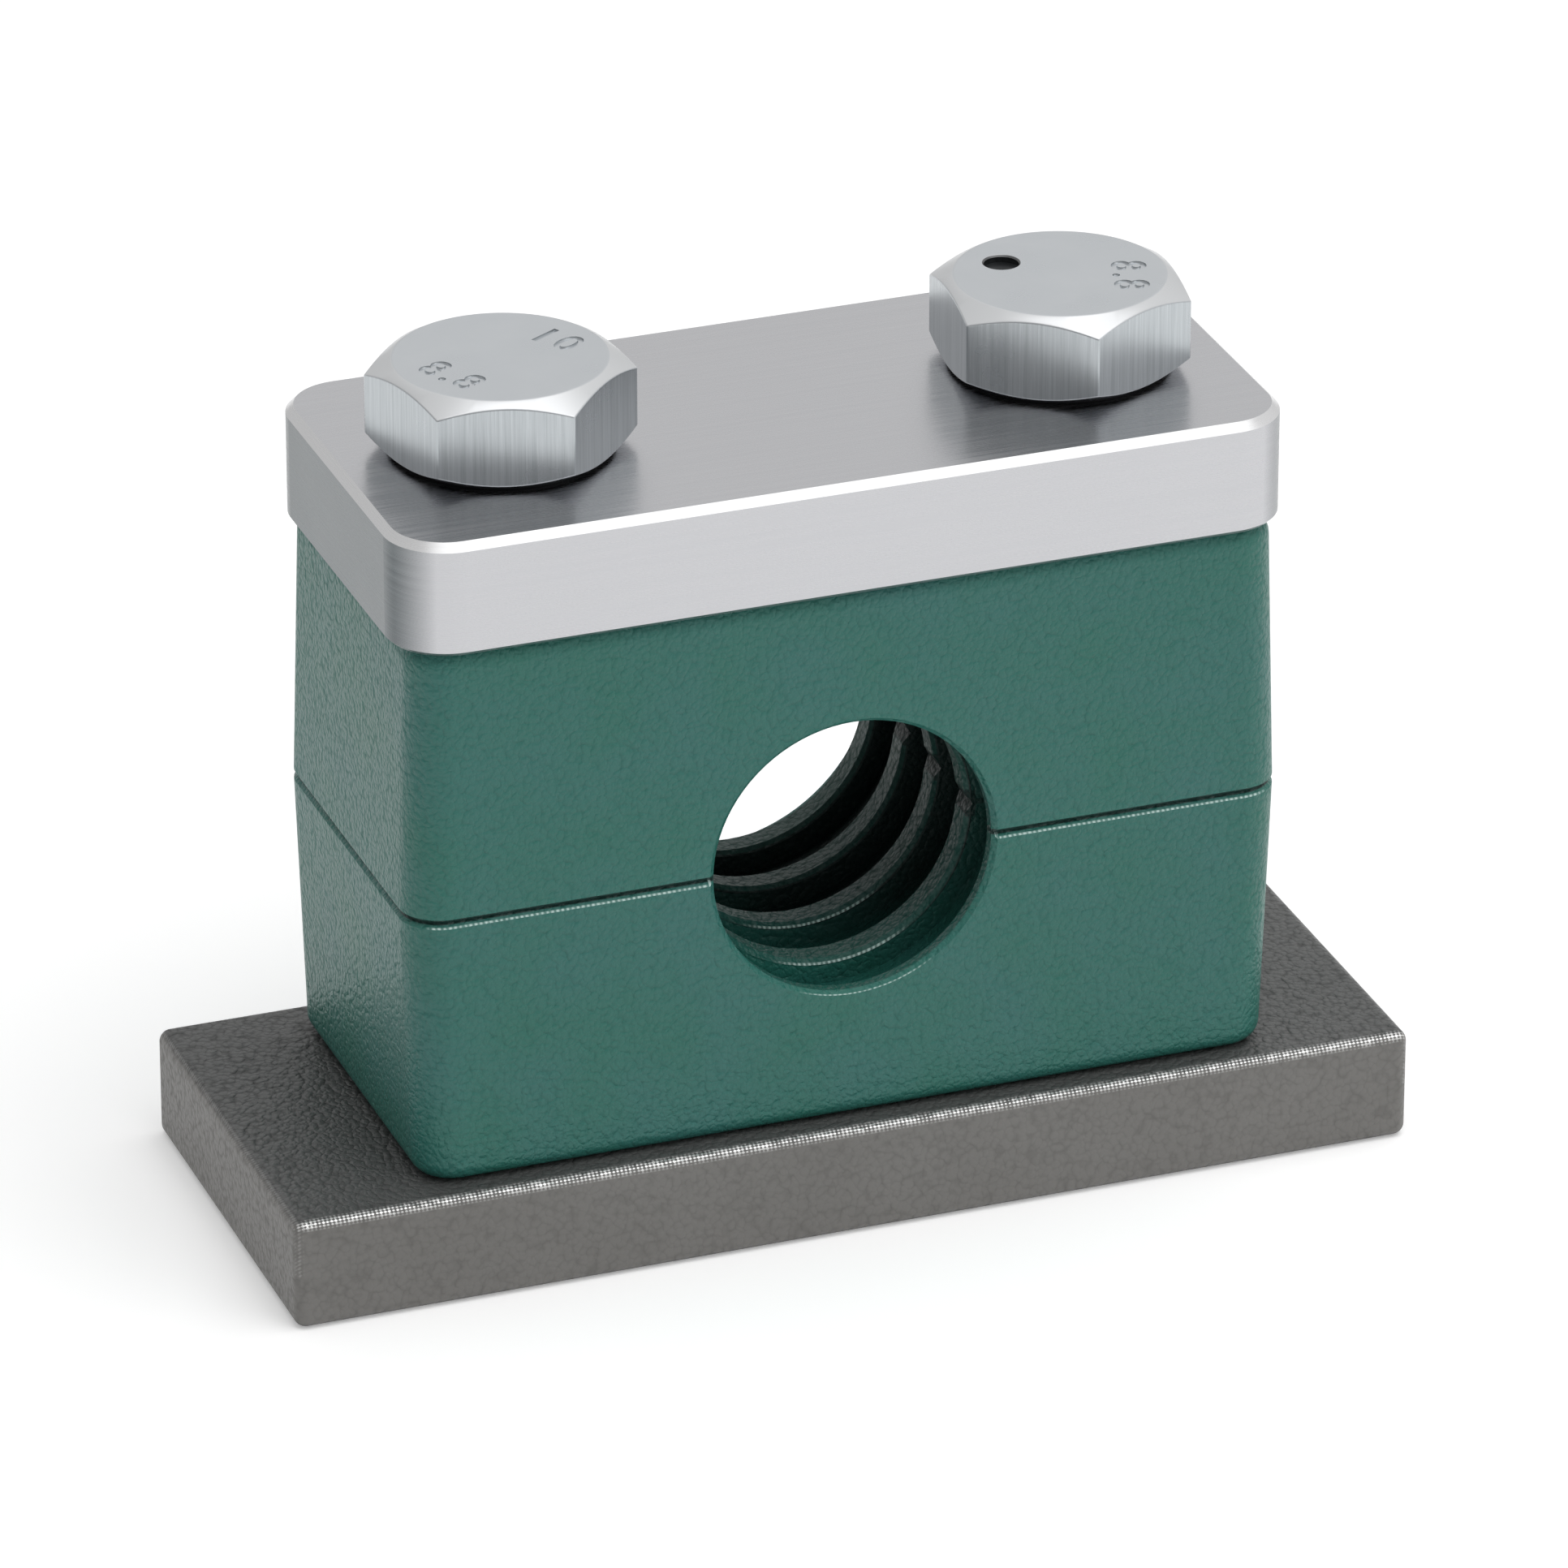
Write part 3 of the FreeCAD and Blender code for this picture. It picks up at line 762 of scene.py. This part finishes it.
def thread_tree():
    tree, given, result = new_group("thread", "GeometryNodeTree", THREAD_INPUTS, [("Geometry", SHAPE)])
    pitch, bottom, top = given["Pitch"], given["Bottom"], given["Top"]
    first = calc(tree, "SUBTRACT", calc(tree, "FLOOR", calc(tree, "DIVIDE", bottom, pitch)), 2.0)
    last = calc(tree, "CEIL", calc(tree, "DIVIDE", top, pitch))
    turns = calc(tree, "SUBTRACT", last, first)
    rows = times(tree, turns, ROWS_PER_PITCH)
    mesh, turn, share_up = wrapped_grid(tree, given["Columns"], rows, given["Turn"])
    pitches_up = calc(tree, "ADD", calc(tree, "MULTIPLY_ADD", share_up, turns, first), turn)
    raw = times(tree, pitches_up, pitch)
    height = calc(tree, "MINIMUM", calc(tree, "MAXIMUM", raw, bottom), top)
    phase = calc(tree, "FRACT", calc(tree, "SUBTRACT", calc(tree, "DIVIDE", height, pitch), turn))
    crest = calc(tree, "ABSOLUTE", calc(tree, "MULTIPLY_ADD", phase, 2.0, -1.0))
    slope = 1 / (1 - CREST_SHARE - ROOT_SHARE)
    sunk = calc(tree, "MULTIPLY_ADD", crest, -slope, slope * (1 - CREST_SHARE), clamp=True)
    thread = calc(tree, "SUBTRACT", given["Crest Radius"], times(tree, sunk, given["Depth"]))
    above = calc(tree, "SUBTRACT", height, top)
    run_out = calc(tree, "MULTIPLY_ADD", above, given["Top Slope"], given["Top Radius"])
    radius = calc(tree, "MAXIMUM", thread, run_out)
    beyond = calc(tree, "SUBTRACT", height, bottom)
    cone = calc(tree, "MULTIPLY_ADD", beyond, given["Bottom Slope"], given["Bottom Radius"])
    ended = add(
        tree, "GeometryNodeSwitch",
        [("Switch", given["Inside"]), ("False", calc(tree, "MINIMUM", radius, cone)),
         ("True", calc(tree, "MAXIMUM", radius, cone))], input_type="FLOAT",
    ).outputs[0]
    point = round_point(tree, ended, turn, height, given["Centre"])
    tree.links.new(closed_round(tree, mesh, point, given["Material"], given["Inside"]), result["Geometry"])
    return tree


THREAD = thread_tree()
print("thread tree has", len(THREAD.nodes), "nodes")

# %% [markdown]
# ## The hexagon head
# A bolt head is a hexagon cut by a cone from above and by another from below, which leaves a curved edge on
# each flat. Boolean cuts would do it, but the shape also follows a short rule: going round, the distance to
# a flat is half the width across flats divided by the cosine of the angle from the flat's middle, and the
# cones lower and raise the flat's ends by how far out they are. So a second tree wraps a grid with nine
# rows: the shank, the washer face, the lower cone, the flat, the upper cone and the middle of the top.

# %% Head tree
HEAD_INPUTS = [
    ("Steps Per Flat", WHOLE, 16), ("Across Flats", NUMBER, 0.0158), ("Top Circle", NUMBER, 0.0145),
    ("Lower Circle", NUMBER, 0.0152), ("Washer Circle", NUMBER, 0.0148), ("Washer Height", NUMBER, 0.00025),
    ("Chamfer Slope", NUMBER, 0.577), ("Shank Radius", NUMBER, 0.00493), ("Shank Bottom", NUMBER, 0.03),
    ("Seat", NUMBER, 0.0556), ("Height", NUMBER, 0.0064), ("Turn", NUMBER, 0.0), ("Centre", NUMBER, 0.0),
    ("Material", FINISH, None),
]


def by_row(tree, row, values):
    """Picks one of several numbers or outputs by the row's index."""
    switch = add(tree, "GeometryNodeIndexSwitch", data_type="FLOAT")
    while len(switch.index_switch_items) < len(values):
        switch.index_switch_items.new()
    tree.links.new(row, switch.inputs["Index"])
    for index, value in enumerate(values):
        feed_in(tree, switch.inputs[str(index)], value)
    return switch.outputs[0]


def head_tree():
    tree, given, result = new_group("hexagon head", "GeometryNodeTree", HEAD_INPUTS, [("Geometry", SHAPE)])
    rows = 8
    columns = times(tree, given["Steps Per Flat"], 6.0)
    mesh, turn, share_up = wrapped_grid(tree, columns, float(rows), given["Turn"])
    row = calc(tree, "ROUND", times(tree, share_up, float(rows)))
    past_turn = calc(tree, "SUBTRACT", turn, given["Turn"])
    from_corner = calc(tree, "FRACT", times(tree, past_turn, 6.0))
    from_middle = calc(tree, "MULTIPLY_ADD", from_corner, math.pi / 3, -math.pi / 6)
    half = times(tree, given["Across Flats"], 0.5)
    flat = calc(tree, "DIVIDE", half, calc(tree, "COSINE", from_middle))
    top_circle = times(tree, given["Top Circle"], 0.5)
    low_circle = times(tree, given["Lower Circle"], 0.5)
    washer = times(tree, given["Washer Circle"], 0.5)
    seat, slope = given["Seat"], given["Chamfer Slope"]
    crown = calc(tree, "ADD", seat, given["Height"])
    washer_top = calc(tree, "ADD", seat, given["Washer Height"])
    falls = times(tree, calc(tree, "SUBTRACT", flat, top_circle), slope)
    rises = times(tree, calc(tree, "SUBTRACT", flat, low_circle), slope)
    shank = given["Shank Radius"]
    radius = by_row(tree, row, [shank, shank, washer, washer, low_circle, flat, flat, top_circle, 0.0])
    height = by_row(tree, row, [
        given["Shank Bottom"], seat, seat, washer_top, washer_top, calc(tree, "ADD", washer_top, rises),
        calc(tree, "SUBTRACT", crown, falls), crown, crown,
    ])
    point = round_point(tree, radius, turn, height, given["Centre"])
    tree.links.new(closed_round(tree, mesh, point, given["Material"]), result["Geometry"])
    return tree


HEAD = head_tree()
print("head tree has", len(HEAD.nodes), "nodes")

# %% [markdown]
# ## From trees to meshes
# A modifier's inputs are set by their identifiers, which the tree's interface lists beside their names.
# Once evaluated, the result becomes a plain mesh and the modifier goes. The thread's end ring and the
# shank's end ring have the same points, so merging what lies together welds them into one closed skin, and
# the open end is closed with a face.


# %% Helpers that grow, weld and finish meshes
def link(mesh, name):
    made = bpy.data.objects.new(name, mesh)
    bpy.context.scene.collection.objects.link(made)
    return made


def evaluated(thing):
    """The mesh of an object with its modifiers carried out."""
    graph = bpy.context.evaluated_depsgraph_get()
    return bpy.data.meshes.new_from_object(thing.evaluated_get(graph))


def grown(tree, name, **inputs):
    """Runs a Geometry Nodes tree on an empty mesh and gives the plain mesh."""
    holder = link(bpy.data.meshes.new(name), name)
    modifier = holder.modifiers.new("grow", "NODES")
    modifier.node_group = tree
    for item in tree.interface.items_tree:
        title = item.name.replace(" ", "_")
        if item.in_out == "INPUT" and title in inputs:
            modifier[item.identifier] = inputs[title]
    mesh = evaluated(holder)
    bpy.data.objects.remove(holder)
    return mesh


def mesh_of(skin, name):
    """The plain mesh of an edited skin, which is then freed."""
    mesh = bpy.data.meshes.new(name)
    skin.to_mesh(mesh)
    skin.free()
    return mesh


def joined_rings(skin, rings, middle, around):
    """Adds rings of (radius, height) about an upright axis at (x, y), each joined to the next."""
    made = []
    for radius, height in rings:
        ring = []
        for step in range(around):
            angle = math.tau * step / around
            x, y = middle[0] + radius * math.cos(angle), middle[1] + radius * math.sin(angle)
            ring.append(skin.verts.new((x, y, height)))
        made.append(ring)
    for lower, upper in zip(made, made[1:]):
        for step in range(around):
            following = (step + 1) % around
            skin.faces.new((lower[step], lower[following], upper[following], upper[step]))
    return made


def welded(name, meshes, material):
    """One closed mesh from several that share their end rings, with any open ring closed by a face."""
    skin = bmesh.new()
    for mesh in meshes:
        skin.from_mesh(mesh)
    bmesh.ops.remove_doubles(skin, verts=skin.verts, dist=SAME_POINT)
    rim = [edge for edge in skin.edges if edge.is_boundary]
    if rim:
        bmesh.ops.holes_fill(skin, edges=rim, sides=0)
    for face in skin.faces:
        face.material_index = 0
        face.smooth = True
    mesh = mesh_of(skin, name)
    mesh.materials.append(material)
    return mesh


def reported(thing):
    """Says how many faces a piece has, and how many edges don't join two. A closed skin has none."""
    skin = bmesh.new()
    skin.from_mesh(thing.data)
    open_edges = sum(not edge.is_manifold for edge in skin.edges)
    print(thing.name, "faces:", len(skin.faces), "open edges:", open_edges)
    skin.free()
    return thing


print("mesh helpers ready")

# %% [markdown]
# ## Marks on the heads
# Real heads carry their strength class and size, struck in by a die, and one head also has the small dimple
# of the tool that held it. Text objects give the digits their outlines. Their bevel makes the cutter wider
# upwards, as a die is, and once the text is a mesh, stretching its height makes those walls steep, so that
# the strokes stay narrow and their far walls catch the light. The digits are turned, set at their place and
# cut out of the head with an exact Boolean.

# %% Digits and dimple as cutters
MARK_DEPTH = 0.11 * MM
MARK_WALL = 0.05 * MM
MARK_SIZE = 3.3 * MM
MARK_SPACING = 1.25
STROKE_OFFSET = 0.01 * MM
MARKS = {
    "left_bolt": [("8.8", (-4.1, -1.85), -64.0), ("10", (4.35, 1.3), -60.0)],
    "right_bolt": [("8.8", (4.2, -1.9), -108.0)],
}
DIMPLE_DEPTH = 0.7 * MM
DIMPLE_RIM = 0.12 * MM
DIMPLE_POINT = 0.2 * MM


def digit_cutter(text, centre, turn):
    """A thin mesh of digits that reaches through the head's top face."""
    settings = {
        "body": text, "size": MARK_SIZE, "align_x": "CENTER", "align_y": "CENTER",
        "space_character": MARK_SPACING, "extrude": MARK_WALL, "bevel_depth": MARK_WALL,
        "bevel_resolution": 0, "offset": STROKE_OFFSET, "resolution_u": 4,
    }
    letters = bpy.data.curves.new("digits", "FONT")
    for setting, value in settings.items():
        setattr(letters, setting, value)
    holder = link(letters, "digits")
    mesh = evaluated(holder)
    bpy.data.objects.remove(holder)
    turned = Matrix.Rotation(math.radians(turn), 4, "Z")
    steeper = Matrix.Diagonal((1.0, 1.0, MARK_DEPTH / MARK_WALL, 1.0))
    placed_at = Matrix.Translation((*centre, HEAD_TOP + 0.9 * MARK_DEPTH))
    mesh.transform(placed_at @ turned @ steeper)
    skin = bmesh.new()
    skin.from_mesh(mesh)
    bmesh.ops.remove_doubles(skin, verts=skin.verts, dist=SAME_POINT)
    bmesh.ops.recalc_face_normals(skin, faces=skin.faces)
    skin.to_mesh(mesh)
    skin.free()
    return mesh


def dimple_cutter(x, y):
    """A short drill: a cylinder with a shallow point, and a wider mouth for the rim."""
    skin = bmesh.new()
    mouth = DIMPLE_RADIUS + DIMPLE_RIM
    rings = [
        (mouth, HEAD_TOP + 0.1 * MM), (mouth, HEAD_TOP), (DIMPLE_RADIUS, HEAD_TOP - DIMPLE_RIM),
        (DIMPLE_RADIUS, HEAD_TOP - DIMPLE_DEPTH + DIMPLE_POINT),
    ]
    made = joined_rings(skin, rings, (x, y), 40)
    skin.faces.new(made[0])
    point = skin.verts.new((x, y, HEAD_TOP - DIMPLE_DEPTH))
    last = made[-1]
    for corner, following in zip(last, last[1:] + last[:1]):
        skin.faces.new((corner, point, following))
    bmesh.ops.recalc_face_normals(skin, faces=skin.faces)
    return mesh_of(skin, "dimple")


def carved(mesh, cutters):
    """Cuts closed meshes out of a closed mesh, one after the other."""
    for cutter in cutters:
        body = link(mesh, "carving")
        tool = link(cutter, "cutter")
        cut = body.modifiers.new("cut", "BOOLEAN")
        cut.operation = "DIFFERENCE"
        cut.solver = "EXACT"
        cut.object = tool
        mesh = evaluated(body)
        bpy.data.objects.remove(body)
        bpy.data.objects.remove(tool)
    return mesh


print("marks:", MARKS)

# %% [markdown]
# ## The two bolts
# Each bolt is a thread, a plain shank and a head in one skin. The thread's columns start at the head's own
# turn, so that the rings of both trees fall on the same points, while the thread's rise still follows the
# true angle: that way it stays in mesh with the bush's thread as the bolt is screwed out. A small bevel
# rounds the head's edges, because a real edge is never sharp and it is the round that catches the light.

# %% Bolts
PITCH = 1.5 * MM
THREAD_DEPTH = 0.812 * MM
BOLT_RADIUS = 4.93 * MM
THREAD_LENGTH = 26.0 * MM
TIP_RADIUS = 3.83 * MM
EDGE_ROUND = 0.11 * MM
SHARP_ANGLE = math.radians(15.0)
HEAD_CREASE = 32.0
HEAD_TURNS = {"left_bolt": 43.5, "right_bolt": 25.0}
SIDES = {"left_bolt": -BOLT_X, "right_bolt": BOLT_X}


def rounded_edges(mesh, above, width):
    """Bevels the sharp edges of a mesh that lie above a height."""
    skin = bmesh.new()
    skin.from_mesh(mesh)
    sharp = [
        edge for edge in skin.edges
        if min(corner.co.z for corner in edge.verts) > above and edge.calc_face_angle(0.0) > SHARP_ANGLE
    ]
    bmesh.ops.bevel(
        skin, geom=sharp, offset=width, offset_type="OFFSET", segments=2, profile=0.5, affect="EDGES",
        clamp_overlap=True,
    )
    skin.to_mesh(mesh)
    skin.free()
    return len(sharp)


def smoothed(mesh, angle):
    """Smooth shading with a crease wherever two faces meet at more than an angle."""
    mesh.polygons.foreach_set("use_smooth", [True] * len(mesh.polygons))
    mesh.set_sharp_from_angle(angle=math.radians(angle))
    return mesh


def make_bolt(node):
    """One dressed bolt that stands for a CAD bolt."""
    low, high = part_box(node)
    turn = HEAD_TURNS[node] / 360.0
    centre = SIDES[node]
    shank_bottom = low.z + THREAD_LENGTH
    head = grown(
        HEAD, "head", Turn=turn, Centre=centre, Shank_Radius=BOLT_RADIUS, Shank_Bottom=shank_bottom,
        Seat=COVER_TOP, Height=high.z - COVER_TOP, Material=BOLT_ZINC,
    )
    thread = grown(
        THREAD, "thread", Turn=turn, Centre=centre, Bottom=low.z, Top=shank_bottom, Pitch=PITCH,
        Crest_Radius=BOLT_RADIUS, Depth=THREAD_DEPTH, Bottom_Radius=TIP_RADIUS, Bottom_Slope=1.0,
        Top_Radius=BOLT_RADIUS, Top_Slope=0.35, Material=BOLT_ZINC,
    )
    mesh = welded(node + "_dressed", [head, thread], BOLT_ZINC)
    rounded = rounded_edges(mesh, COVER_TOP + 0.3 * MM, EDGE_ROUND)
    cutters = [
        digit_cutter(text, (centre + x * MM, y * MM), mark_turn) for text, (x, y), mark_turn in MARKS[node]
    ]
    if node == "right_bolt":
        cutters.append(dimple_cutter(centre + DIMPLE_PLACE.x, DIMPLE_PLACE.y))
    mesh = smoothed(carved(mesh, cutters), HEAD_CREASE)
    bolt = link(mesh, node + "_dressed")
    weighted = bolt.modifiers.new("even shading", "WEIGHTED_NORMAL")
    weighted.keep_sharp = True
    bolt.data = evaluated(bolt)
    bolt.modifiers.clear()
    print(node, "edges rounded:", rounded)
    return reported(bolt)


BOLTS = {node: make_bolt(node) for node in ("left_bolt", "right_bolt")}
for node, bolt in BOLTS.items():
    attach(bolt, node)
    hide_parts(node)

# %% [markdown]
# ## The threaded bushes
# A bush is a turned collar that stands on the weld plate, with a spigot below it in the plate's hole. Its
# outside is a few rings on one axis, and its inside is the thread tree again, now with its faces turned
# inwards and a cone at each end, where the tap was led in. Both use the same number of columns, so they
# weld into one closed skin.

# %% Bushes
COLUMNS = 96
BUSH_RADIUS = 8.0 * MM
SPIGOT_RADIUS = 6.5 * MM
BORE_RADIUS = 5.0 * MM
LEAD_IN = 0.9 * MM
BREAK = 0.4 * MM
BUSH_CREASE = 25.0


def make_bush(node, centre):
    low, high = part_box(node)
    plate_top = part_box("weld_plate")[1].z
    rings = [
        (BORE_RADIUS, low.z), (SPIGOT_RADIUS - BREAK, low.z), (SPIGOT_RADIUS, low.z + BREAK),
        (SPIGOT_RADIUS, plate_top), (BUSH_RADIUS, plate_top), (BUSH_RADIUS, high.z - BREAK),
        (BUSH_RADIUS - BREAK, high.z), (BORE_RADIUS + LEAD_IN, high.z),
    ]
    skin = bmesh.new()
    joined_rings(skin, rings, (centre, 0.0), COLUMNS)
    outside = mesh_of(skin, "turned")
    inside = grown(
        THREAD, "female_thread", Columns=COLUMNS, Centre=centre, Bottom=low.z, Top=high.z, Pitch=PITCH,
        Crest_Radius=BORE_RADIUS, Depth=THREAD_DEPTH, Bottom_Radius=BORE_RADIUS, Bottom_Slope=-1.0,
        Top_Radius=BORE_RADIUS + LEAD_IN, Top_Slope=1.0, Inside=True, Material=BUSH_STEEL,
    )
    mesh = welded(node + "_dressed", [outside, inside], BUSH_STEEL)
    return reported(link(smoothed(mesh, BUSH_CREASE), node + "_dressed"))


for node, centre in (("left_thread_bush", -BOLT_X), ("right_thread_bush", BOLT_X)):
    bush = make_bush(node, centre)
    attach(bush, "clamp_base")
    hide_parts(node)

# %% [markdown]
# ## The floor
# The clamp stands on a pale sweep, as in a shop's product picture. A sheet bent up behind it could be
# modelled, but a flat square and a white background look the same. The floor glows a little for the camera
# and in reflections, so that it comes out white without more light on the clamp, and the shadow stays on
# it. Further away the camera alone sees it brighter still, so that low views have no grey horizon.

# %% Floor
FLOOR_REACH = 3.0
FLOOR_DROP = 0.02 * MM
FLOOR_TONES = ((0.925, 0.925, 0.925), (0.935, 0.935, 0.935))
FLOOR_LIFT = 0.28
FAR_LIFT = 0.6
FADE_START = 0.20
FADE_LENGTH = 0.50


def pale_floor():
    white = (1.0, 1.0, 1.0, 1.0)
    material, tree, shader, place = new_material("pale floor", Roughness=0.8, Emission_Color=white)
    pale = blend_colours(tree, clouds(tree, place, 90.0 * MM, 1.0), *FLOOR_TONES)
    tree.links.new(pale, shader["Base Color"])
    path = add(tree, "ShaderNodeLightPath").outputs
    seen = calc(tree, "ADD", path["Is Camera Ray"], path["Is Glossy Ray"])
    near_lift = times(tree, calc(tree, "ADD", seen, path["Is Transmission Ray"], clamp=True), FLOOR_LIFT)
    away = vector_calc(tree, "LENGTH", place["Object"])["Value"]
    far = calc(tree, "MULTIPLY_ADD", away, 1 / FADE_LENGTH, -FADE_START / FADE_LENGTH, clamp=True)
    far_lift = times(tree, far, times(tree, path["Is Camera Ray"], FAR_LIFT))
    tree.links.new(calc(tree, "ADD", near_lift, far_lift), shader["Emission Strength"])
    return material


ground = bmesh.new()
bmesh.ops.create_grid(ground, x_segments=1, y_segments=1, size=FLOOR_REACH)
bmesh.ops.translate(ground, verts=ground.verts, vec=(0.0, 0.0, -FLOOR_DROP))
floor_mesh = mesh_of(ground, "floor")
floor_mesh.materials.append(pale_floor())
floor = link(floor_mesh, "floor")
print("floor reaches", FLOOR_REACH, "m each way")

# %% [markdown]
# ## Lamps and background
# The light is plain and soft: one broad soft box nearly overhead, and a weaker one at the front right that
# fills the front. Metal shows what stands round it, and a lamp mirrored in flat steel comes out as a white
# patch without detail. So both lamps are hidden from reflections, and a soft patch of the background
# stands for each of them there, bright enough to whiten the bevels and the heads' chamfers. The background
# is white for the camera and pale in reflections, brightest overhead and dimmer low at the front left, as
# in a real room: without that slow change flat metal looks like paper. The light that the background gives
# is lower still, so the floor keeps the clamp's shadow.

# %% Lamps and background
LAMP_AIM = Vector((0.0, 0.0, 30.0)) * MM
LAMPS = [  # name, place and size in metres, and brightness
    ("overhead_soft_box", Vector((0.22, -0.22, 1.05)), 1.0, 2.3),
    ("front_right_soft_box", Vector((0.9, -1.1, 0.55)), 0.9, 0.9),
]
AMBIENT = 0.42  # the share of its light that the background really gives
ROOM_TONE = 0.48
ROOM_LEAN = (0.20, 0.13, 0.38)
LAMP_IMAGES = [  # towards it, where it fades out and is full as a cosine, and how much it adds
    ((0.15, -0.25, 0.957), (0.788, 0.927), 0.72),
    ((0.595, -0.727, 0.344), (0.92, 0.975), 0.42),
]

for name, place, size, brightness in LAMPS:
    lamp = bpy.data.lights.new(name, "AREA")
    lamp.shape = "SQUARE"
    lamp.size = size
    lamp.energy = brightness * math.pi * size * size
    stand(lamp, name, place, LAMP_AIM).visible_glossy = False
    print(name, "gives", round(lamp.energy, 2), "W")

world = bpy.data.worlds.new("studio")
world.use_nodes = True
bpy.context.scene.world = world
sky = world.node_tree
sky.nodes.clear()
path = add(sky, "ShaderNodeLightPath").outputs
towards = add(sky, "ShaderNodeTexCoord").outputs["Generated"]
lean = vector_calc(sky, "DOT_PRODUCT", towards, ROOM_LEAN)["Value"]
room = calc(sky, "ADD", lean, ROOM_TONE, clamp=True)
for lamp_side, (fades_out, full), glow in LAMP_IMAGES:
    near = vector_calc(sky, "DOT_PRODUCT", towards, lamp_side)["Value"]
    steepness = 1.0 / (full - fades_out)
    patch = calc(sky, "MULTIPLY_ADD", near, steepness, -fades_out * steepness, clamp=True)
    room = calc(sky, "MULTIPLY_ADD", patch, glow, room)
mirrored = calc(sky, "ADD", path["Is Glossy Ray"], path["Is Transmission Ray"], clamp=True)
lit = between(sky, path["Is Camera Ray"], AMBIENT, 1.0)
strength = calc(sky, "MULTIPLY_ADD", mirrored, calc(sky, "SUBTRACT", room, lit), lit)
feeds = [("Color", (1.0, 1.0, 1.0, 1.0)), ("Strength", strength)]
backdrop = add(sky, "ShaderNodeBackground", feeds)
add(sky, "ShaderNodeOutputWorld", [("Surface", backdrop.outputs[0])])
print("background gives", AMBIENT, "of what it shows")
